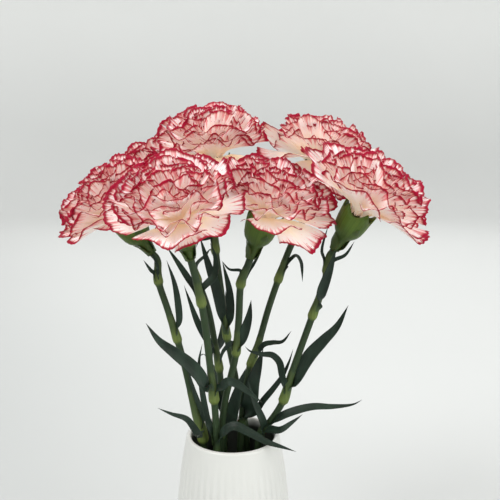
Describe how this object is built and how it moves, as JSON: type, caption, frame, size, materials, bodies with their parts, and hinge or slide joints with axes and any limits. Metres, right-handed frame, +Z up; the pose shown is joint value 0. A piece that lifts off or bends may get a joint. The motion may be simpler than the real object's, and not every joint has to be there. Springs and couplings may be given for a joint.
{
  "type": "vase of cut carnations",
  "caption": "Cut carnations with ruffled, red-edged cream petals on jointed green stems with narrow leaves, standing in a tall white ribbed ceramic vase.",
  "frame": {"origin": "middle of the vase's flat foot", "axes": "+Z up along the vase's axis; -Y is the bouquet's front, +X its right side"},
  "size_m": [0.2136, 0.1833, 0.3682],
  "materials": {
    "vase_glaze": "satin white glaze over soft vertical ribs",
    "petal": "soft matt petal, near white to cream, with an irregular crimson margin",
    "calyx": "smooth waxy mid green",
    "stem": "waxy green stem, paler at its swollen joints",
    "leaf": "matt blue-green leaf with a powdery bloom"
  },
  "bodies": {
    "root": {"vase": "vase_glaze", "calyx_1": "calyx", "outer_petals_1": "petal", "inner_petals_1": "petal", "stem_1": "stem", "leaf_1a": "leaf", "leaf_1b": "leaf", "leaf_1c": "leaf", "leaf_1d": "leaf", "calyx_2": "calyx", "outer_petals_2": "petal", "inner_petals_2": "petal", "stem_2": "stem", "leaf_2a": "leaf", "leaf_2b": "leaf", "leaf_2c": "leaf", "leaf_2d": "leaf", "leaf_2e": "leaf", "leaf_2f": "leaf", "calyx_3": "calyx", "outer_petals_3": "petal", "inner_petals_3": "petal", "stem_3": "stem", "leaf_3a": "leaf", "leaf_3b": "leaf", "leaf_3c": "leaf", "calyx_4": "calyx", "outer_petals_4": "petal", "inner_petals_4": "petal", "stem_4": "stem", "leaf_4a": "leaf", "leaf_4b": "leaf", "leaf_4c": "leaf", "leaf_4d": "leaf", "calyx_5": "calyx", "outer_petals_5": "petal", "inner_petals_5": "petal", "stem_5": "stem", "leaf_5a": "leaf", "leaf_5b": "leaf", "leaf_5c": "leaf", "calyx_6": "calyx", "outer_petals_6": "petal", "inner_petals_6": "petal", "stem_6": "stem", "leaf_6a": "leaf", "leaf_6b": "leaf", "leaf_6c": "leaf", "leaf_6d": "leaf", "leaf_6e": "leaf", "leaf_6f": "leaf", "leaf_6g": "leaf", "calyx_7": "calyx", "outer_petals_7": "petal", "inner_petals_7": "petal", "stem_7": "stem", "leaf_7a": "leaf", "leaf_7b": "leaf", "leaf_7c": "leaf", "leaf_7d": "leaf"}
  },
  "joints": []
}
